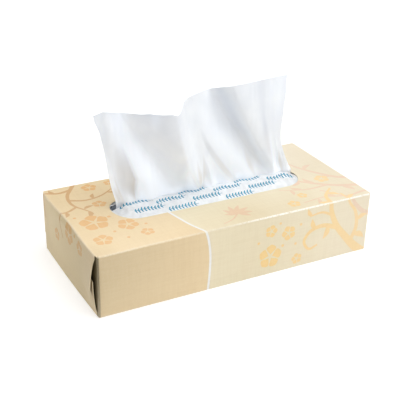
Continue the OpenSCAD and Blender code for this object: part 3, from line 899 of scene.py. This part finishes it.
def build_film(film, carton, sheet):
    """The slit film under the mouth with its marks, as one thin closed piece whose lips follow
    the gathers of the sheet between them."""
    f, c, s = in_mm(film), in_mm(carton), in_mm(sheet)
    run, radius = (c.mouth_length - c.mouth_width) / 2, c.mouth_width / 2
    half_x, half_y = c.mouth_length / 2 + f.end_margin, radius + f.side_margin
    shapes = [("film", rectangle(-half_x, half_x, -half_y, half_y))]
    shapes += film_marks() + [("slit", oblong(f.slit_run, f.slit_half, 10))]
    lines = []
    for reach in (*np.linspace(f.slit_half + 0.6, radius - 1, 14), *np.linspace(radius - 0.4, radius + 4, 8)):
        loop = oblong(run, reach, 20)
        lines.append(np.vstack([loop, loop[:1]]))
    lines += [[(x, -half_y), (x, half_y)] for x in np.linspace(-half_x + 3, half_x - 3, 76)]
    flat, cells, names = partition(shapes, lines, "film", "slit")
    x, y = flat.T

    def place(px, py):
        rise = film_height(px, py, f, run, radius)
        held = smooth((f.slit_run - np.abs(px)) / 4) * np.clip(rise / f.lip, 0, 1) ** 2
        lip = gathers(px / (2 * s.slit_run) + 0.5, 1, s.gather) + np.sign(py) * 0.35
        moved = py + held * (lip - np.sign(py) * f.slit_half)
        # The slit gapes past both ends of the sheet, most behind it
        near_slit = bell((np.abs(py) - f.slit_half) / 3)
        for end, wide, behind, before in ((-80, 3.6, 7.5, 2.4), (80, 3, 3.6, 0.4)):
            moved = moved + bell((px - end) / wide) * near_slit * np.where(py > 0, behind, before)
        return np.stack([px, moved, f.height + rise], 1)
    points, step = place(x, y), 0.05
    normals = np.cross(place(x + step, y) - place(x - step, y), place(x, y + step) - place(x, y - step))
    normals /= np.linalg.norm(normals, axis=1)[:, None]
    faces = facing(cells, points, np.tile((0, 0, 1), (len(points), 1)))
    indices = [int(n == "mark") for n in names]
    points, faces, indices = shell(points, points - normals * f.thickness, faces, indices, 0, 0)
    materials = [film_material("film_clear", "#f4f8fc", 0.9), film_material("film_mark", "#3796b8", 0.94)]
    return piece("mouth_film", settle(points), faces, materials, indices, 60.0)


# Stack

def fold_bundle(t, material):
    """One bundle of folds: a flat bar with round long edges, closed at both ends."""
    radius, half, depth = t.height / t.bundles / 2, t.width / 2, t.depth
    ring = [(depth / 2 - radius + radius * math.cos(a), radius + radius * math.sin(a))
            for a in np.linspace(-math.pi / 2, math.pi / 2, 7)]
    ring += [(-y, z) for y, z in reversed(ring)]
    columns, n = np.linspace(-half, half, 20), len(ring)
    points = [(x, y + 0.25 * math.sin(x * 0.05 + z), z) for x in columns for y, z in ring]
    caps = [tuple(reversed(range(n))), tuple(range(len(points) - n, len(points)))]
    return piece("fold_bundle", points, quads(len(columns), n, 1) + caps, [material])


def build_stack(t):
    """The interfolded stack: folded bundles repeated upwards by geometry nodes."""
    material = tissue_material("tissue_stack")
    bundle = fold_bundle(in_mm(t), material)
    tree = bpy.data.node_groups.new("Folded stack", "GeometryNodeTree")
    sockets = {}
    for name, kind in (("Geometry", "Geometry"), ("Bundles", "Int"), ("Pitch", "Float"), ("Jitter", "Float")):
        sockets[name] = tree.interface.new_socket(name, in_out="INPUT", socket_type="NodeSocket" + kind)
    tree.interface.new_socket("Geometry", in_out="OUTPUT", socket_type="NodeSocketGeometry")
    given = add(tree, "NodeGroupInput").outputs
    rise = add(tree, "ShaderNodeCombineXYZ", {"Z": given["Pitch"]})
    low = add(tree, "ShaderNodeCombineXYZ", {"Z": t.base})
    line = add(tree, "GeometryNodeMeshLine", {
        "Count": given["Bundles"], "Offset": rise.outputs[0], "Start Location": low.outputs[0],
    }, mode="OFFSET")
    less = add(tree, "ShaderNodeMath", {0: given["Jitter"], 1: -1.0}, operation="MULTIPLY").outputs[0]
    chance = add(tree, "FunctionNodeRandomValue", {
        0: add(tree, "ShaderNodeCombineXYZ", {"X": less, "Y": less}).outputs[0],
        1: add(tree, "ShaderNodeCombineXYZ", {"X": given["Jitter"], "Y": given["Jitter"]}).outputs[0],
        "Seed": 3,
    }, data_type="FLOAT_VECTOR")
    moved = add(tree, "GeometryNodeSetPosition", {"Geometry": line.outputs[0], "Offset": chance.outputs[0]})
    copies = add(tree, "GeometryNodeInstanceOnPoints", {
        "Points": moved.outputs[0], "Instance": given["Geometry"],
    })
    real = add(tree, "GeometryNodeRealizeInstances", {"Geometry": copies.outputs[0]})
    dressed = add(tree, "GeometryNodeSetMaterial", {"Material": material, "Geometry": real.outputs[0]})
    add(tree, "NodeGroupOutput", {"Geometry": dressed.outputs[0]})

    change = bundle.modifiers.new("Folded stack", "NODES")
    change.node_group = tree
    for name, value in (("Bundles", t.bundles), ("Pitch", t.height / t.bundles), ("Jitter", 0.4 * MM)):
        change[sockets[name].identifier] = value
    mesh = bpy.data.meshes.new_from_object(bundle.evaluated_get(bpy.context.evaluated_depsgraph_get()))
    mesh.name = "tissue_pack"
    bpy.data.objects.remove(bundle)
    return placed("tissue_pack", mesh)


# Standing sheet

def gathers(u, fade, depth):
    """Uneven waves that fill the slit and fade out upwards and on the stack."""
    turn = 2 * math.pi
    broad = np.sin(9 * turn * u + math.radians(50) * np.sin(2 * turn * u))
    return depth * fade * (0.75 * broad + 0.25 * np.sin(math.radians(1500) * u))


def pleats(u, v):
    """Pleats that start at the lips."""
    total = np.zeros_like(u)
    for at, end, half, depth in PLEATS:
        if v < end:
            total += depth * bell((u - at) / half) * math.sin(math.pi * math.sqrt(v / end)) ** 2
    return total


def standing_row(s, u, v):
    """One row of the standing part, from the lips at v 0 to the top edge at v 1."""
    foot, top, half_x, half_y, top_x, top_y, top_z = FOLD_LINES.T

    def upward(low, half, high):
        return low * (1 - v) * (1 - 2 * v) + half * 4 * v * (1 - v) + high * v * (2 * v - 1)
    knots = np.stack([
        foot + (top - foot) * v, s.slit_run * upward(2 * foot - 1, half_x, top_x),
        s.stand * upward(0, half_y, top_y), s.lip_z + s.stand * top_z * v,
    ], 1)
    row = curve_at(knots, u)
    # The right edge and the left edge bulge halfway up
    row[:, 0] += 3.6 * smooth((u - 0.86) / 0.14) * smooth((v - 0.3) / 0.35) * (1 - smooth((v - 0.8) / 0.2))
    row[:, 0] += 2.4 * (1 - smooth(u / 0.12)) * smooth((v - 0.15) / 0.5) * (1 - smooth((v - 0.8) / 0.17))
    row[:, 1] += gathers(u, (1 - v) ** 5, s.gather) + pleats(u, v)
    return row


def hidden_row(s, u, d):
    """One row of the hidden part, at distance d along the sheet from the lips: down, round onto
    the stack, back along it and turned under."""
    bend, turn, lie_y = 4.0, 0.8, s.length / 4 - 5
    drop = s.lip_z - s.lie_z - bend
    bend_run, flat_run, turn_run = bend * math.pi / 2, lie_y - bend, turn * math.pi
    wave = gathers(u, max(0.0, 1 - d / (drop + bend_run)) ** 0.7, s.gather)
    spread = smooth((d - drop / 2) / (bend_run + flat_run))
    x = (2 * u - 1) * (s.slit_run * (1 - spread) + s.width / 2 * spread)
    past = d - drop
    if past <= 0:
        y, z = wave, s.lip_z - d
    elif past <= bend_run:
        a = past / bend
        y, z = wave + bend * (1 - math.cos(a)), s.lie_z + bend * (1 - math.sin(a))
    elif past <= bend_run + flat_run:
        y, z = bend + past - bend_run, s.lie_z
    elif past <= bend_run + flat_run + turn_run:
        a = (past - bend_run - flat_run) / turn
        y, z = lie_y + turn * math.sin(a), s.lie_z - turn * (1 - math.cos(a))
    else:
        y, z = lie_y - (past - bend_run - flat_run - turn_run), s.lie_z - 2 * turn
    return np.stack(np.broadcast_arrays(x, y, z), 1)


def crease(u, v, line, left, right, power, depth):
    """Height of one crease at percentages of the width and height: highest on its line, thin and
    low towards its ends."""
    high, low = line[0][0], line[-1][0]
    heights, shares = zip(*reversed(line))
    away = u - np.interp(v, heights, shares)
    fade = np.sin(math.pi * np.clip((v - low) / (high - low), 0, 1))
    reach = np.where(away < 0, left, right) * (0.35 + 0.65 * fade)
    return depth * fade * np.exp(-np.abs(away / reach) ** power)


def creases(u, v, table):
    """All the creases of a table together."""
    return sum(crease(100 * u, 100 * v, *row) for row in table)


def sheet_detail(u, v, x, z):
    """Creases and softness of the standing part, in millimetres towards the viewer."""
    total = creases(u, v, CREASES)
    # The upper left corner hangs back
    corner = np.clip((v - 0.8) * 0.42 - u, 0, None)
    total -= 25 * corner * smooth(corner * 40)
    total += smooth(v * 5) * 0.3 * waves(x, z * 0.45, 21, 16, 0.012, 0.05)
    total += 0.1 * waves(x, z * 0.25, 22, 18, 0.06, 0.14) + 0.045 * waves(x, z * 0.15, 23, 18, 0.15, 0.3)
    return total


def sheet_glow(u, v):
    """Painted light: a glow that stands in for light from the film and the carton's top on the lower part of
    the sheet, and for light between the folds.
    """
    low = 0.35 * (1 - smooth(v / 0.75)) + 0.45 * (1 - smooth(v / 0.14))
    return np.clip(creases(u, v, GLOWS) + low, 0, 1.4)


def build_sheet(settings):
    """The standing sheet as one closed piece, whole, with its lower half on the stack."""
    s = in_mm(settings)
    u, levels = np.linspace(0, 1, s.columns + 1), np.linspace(0, 1, s.rows + 1)
    spans = ((s.length - s.stand, 66.5, 16), (66, 60, 10), (59, 20, 12), (19, 0.8, 24))
    stops = np.concatenate([np.linspace(*span) for span in spans])
    grid = np.array([hidden_row(s, u, d) for d in stops] + [standing_row(s, u, v) for v in levels])
    first = len(stops)
    uu, vv = np.meshgrid(u, levels)

    def normals(g):
        n = np.cross(np.gradient(g, axis=1), np.gradient(g, axis=0))
        return n / np.maximum(np.linalg.norm(n, axis=2), 1e-9)[..., None]
    lift = sheet_detail(uu, vv, grid[first:, :, 0], grid[first:, :, 2])
    grid[first:] += normals(grid)[first:] * lift[..., None]
    half = normals(grid) * s.thickness / 2
    front_ply, back_ply = grid + half, grid - half
    # The back ply stands higher along a stretch of the top edge
    split = smooth((vv - 0.96) / 0.04) * smooth((uu - 0.2) / 0.05) * smooth((0.35 - uu) / 0.03)
    back_ply[first:, :, 2] += 1.4 * split
    plies = [pulled(ply.reshape(-1, 3)) for ply in (front_ply, back_ply)]
    faces = quads(len(grid), len(u))
    points, faces, indices = shell(*plies, faces, [0] * len(faces), 0, 0)
    obj = piece("standing_sheet", points, faces, [tissue_material("tissue_sheet")], indices, 70.0)
    # Painted shade and painted glow on the standing part, none on the hidden part
    plain = np.zeros((first, len(u)))
    shade = np.vstack([plain, np.clip(creases(uu, vv, SHADES), 0, 1)])
    glow = np.vstack([plain, sheet_glow(uu, vv)])
    store(obj, shade=[shade] * 2, glow=[glow] * 2)
    return obj


# Stage

def direction(turn, rise):
    """Unit vector towards a place round the object: degrees from the front to the right, and up."""
    a, b = math.radians(turn), math.radians(rise)
    return Vector((math.sin(a) * math.cos(b), -math.cos(a) * math.cos(b), math.sin(b)))


def sun_light(name, turn, rise, power, spread, code):
    """A broad soft light from a direction, with its spread in degrees."""
    light = bpy.data.lights.new(name, "SUN")
    light.energy, light.angle, light.color = power, math.radians(spread), colour(code)[:3]
    placed(name, light).rotation_euler = direction(turn, rise).to_track_quat("Z", "Y").to_euler()


def build_stage(g):
    """Camera at the photograph's angle, soft lights, white surroundings and a pale floor."""
    scene = bpy.context.scene
    roll, back = math.radians(CAMERA_ROLL), direction(CAMERA_TURN, CAMERA_RISE)
    right = (-back).cross(Vector((0, 0, 1))).normalized()
    up = right.cross(-back)
    right, up = math.cos(roll) * right + math.sin(roll) * up, math.cos(roll) * up - math.sin(roll) * right
    data = bpy.data.cameras.new("camera")
    data.lens, data.sensor_width, data.clip_start, data.clip_end = CAMERA_LENS, 36.0, 0.05, 40.0
    scene.camera = placed("camera", data)
    place = Matrix.Translation(Vector(CAMERA_AIM) + back * CAMERA_REACH)
    scene.camera.matrix_world = place @ Matrix((right, up, back)).transposed().to_4x4()
    scene.view_settings.view_transform = "Standard"

    sun_light("top_light", 0, 90, g.top, 70, "#fffdfa")
    sun_light("right_light", 60, 40, g.right, 40, "#ffffff")
    sun_light("front_light", 15, 35, g.front, 40, "#ffffff")

    scene.world = bpy.data.worlds.new("surroundings")
    scene.world.use_nodes = True
    tree = scene.world.node_tree
    tree.nodes.clear()
    sky = add(tree, "ShaderNodeBackground", {"Color": colour("#ffffff"), "Strength": g.sky})
    add(tree, "ShaderNodeOutputWorld", {"Surface": sky.outputs[0]})

    material, tree = blank_material("floor_paper")
    tone = tint(tree, colour("#cbcbcb"), colour("#cfcfcf"), grains(tree, 333.3, 2))
    skin = add(tree, "ShaderNodeBsdfPrincipled", {
        "Base Color": tone, "Roughness": 0.9, "Specular IOR Level": 0.1,
        "Emission Color": colour("#ffffff"), "Emission Strength": 0.52,
    })
    add(tree, "ShaderNodeOutputMaterial", {"Surface": skin.outputs[0]})
    mesh = bpy.data.meshes.new("floor")
    mesh.from_pydata([(x, y, -0.0002) for x, y in rectangle(-12, 12, -12, 12)], [], [(0, 1, 2, 3)])
    mesh.materials.append(material)
    placed("floor", mesh)


# Add-on

def place_piece(obj, node):
    """Ties a piece to the frame in place of a CAD node, and hides that node."""
    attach(obj, "root")
    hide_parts(node)


class TISSUEBOX_OT_carton(bpy.types.Operator):
    """Build the printed carton"""
    bl_idname = "tissuebox.carton"
    bl_label = "Carton"

    def execute(self, context):
        place_piece(build_carton(context.scene.tissuebox_carton), "carton")
        return {"FINISHED"}


class TISSUEBOX_OT_film(bpy.types.Operator):
    """Build the slit film under the mouth"""
    bl_idname = "tissuebox.film"
    bl_label = "Film"

    def execute(self, context):
        scene = context.scene
        film = build_film(scene.tissuebox_film, scene.tissuebox_carton, scene.tissuebox_sheet)
        place_piece(film, "window_film")
        return {"FINISHED"}


class TISSUEBOX_OT_stack(bpy.types.Operator):
    """Build the interfolded stack"""
    bl_idname = "tissuebox.stack"
    bl_label = "Stack"

    def execute(self, context):
        place_piece(build_stack(context.scene.tissuebox_stack), "tissue_stack")
        return {"FINISHED"}


class TISSUEBOX_OT_sheet(bpy.types.Operator):
    """Build the sheet that stands in the slit"""
    bl_idname = "tissuebox.sheet"
    bl_label = "Standing sheet"

    def execute(self, context):
        settings = context.scene.tissuebox_sheet
        obj = build_sheet(settings)
        place_piece(obj, "popup_tissue")
        return {"FINISHED"}


class TISSUEBOX_OT_stage(bpy.types.Operator):
    """Build the camera, lights and floor"""
    bl_idname = "tissuebox.stage"
    bl_label = "Stage"

    def execute(self, context):
        build_stage(context.scene.tissuebox_stage)
        return {"FINISHED"}


OPERATORS = (
    TISSUEBOX_OT_stage, TISSUEBOX_OT_carton, TISSUEBOX_OT_film, TISSUEBOX_OT_stack, TISSUEBOX_OT_sheet,
)
SETTINGS = {
    "tissuebox_carton": CartonSettings, "tissuebox_film": FilmSettings, "tissuebox_stack": StackSettings,
    "tissuebox_sheet": SheetSettings, "tissuebox_stage": StageSettings,
}


class TISSUEBOX_PT_build(bpy.types.Panel):
    """Buttons that build each piece"""
    bl_idname = "TISSUEBOX_PT_build"
    bl_label = "Tissue box"
    bl_space_type = "VIEW_3D"
    bl_region_type = "UI"
    bl_category = "Tissue box"

    def draw(self, context):
        for operator in OPERATORS:
            self.layout.operator(operator.bl_idname)


def register():
    """Registers the settings, the operators and the panel."""
    for name, group in SETTINGS.items():
        bpy.utils.register_class(group)
        setattr(bpy.types.Scene, name, bpy.props.PointerProperty(type=group))
    for operator in OPERATORS:
        bpy.utils.register_class(operator)
    bpy.utils.register_class(TISSUEBOX_PT_build)


def unregister():
    """Takes the panel, the operators and the settings out again."""
    bpy.utils.unregister_class(TISSUEBOX_PT_build)
    for operator in reversed(OPERATORS):
        bpy.utils.unregister_class(operator)
    for name, group in SETTINGS.items():
        delattr(bpy.types.Scene, name)
        bpy.utils.unregister_class(group)


def main():
    """Builds everything."""
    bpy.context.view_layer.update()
    register()
    for operator in OPERATORS:
        group, name = operator.bl_idname.split(".")
        getattr(getattr(bpy.ops, group), name)()
    bpy.context.view_layer.update()


if __name__ == "__main__":
    main()
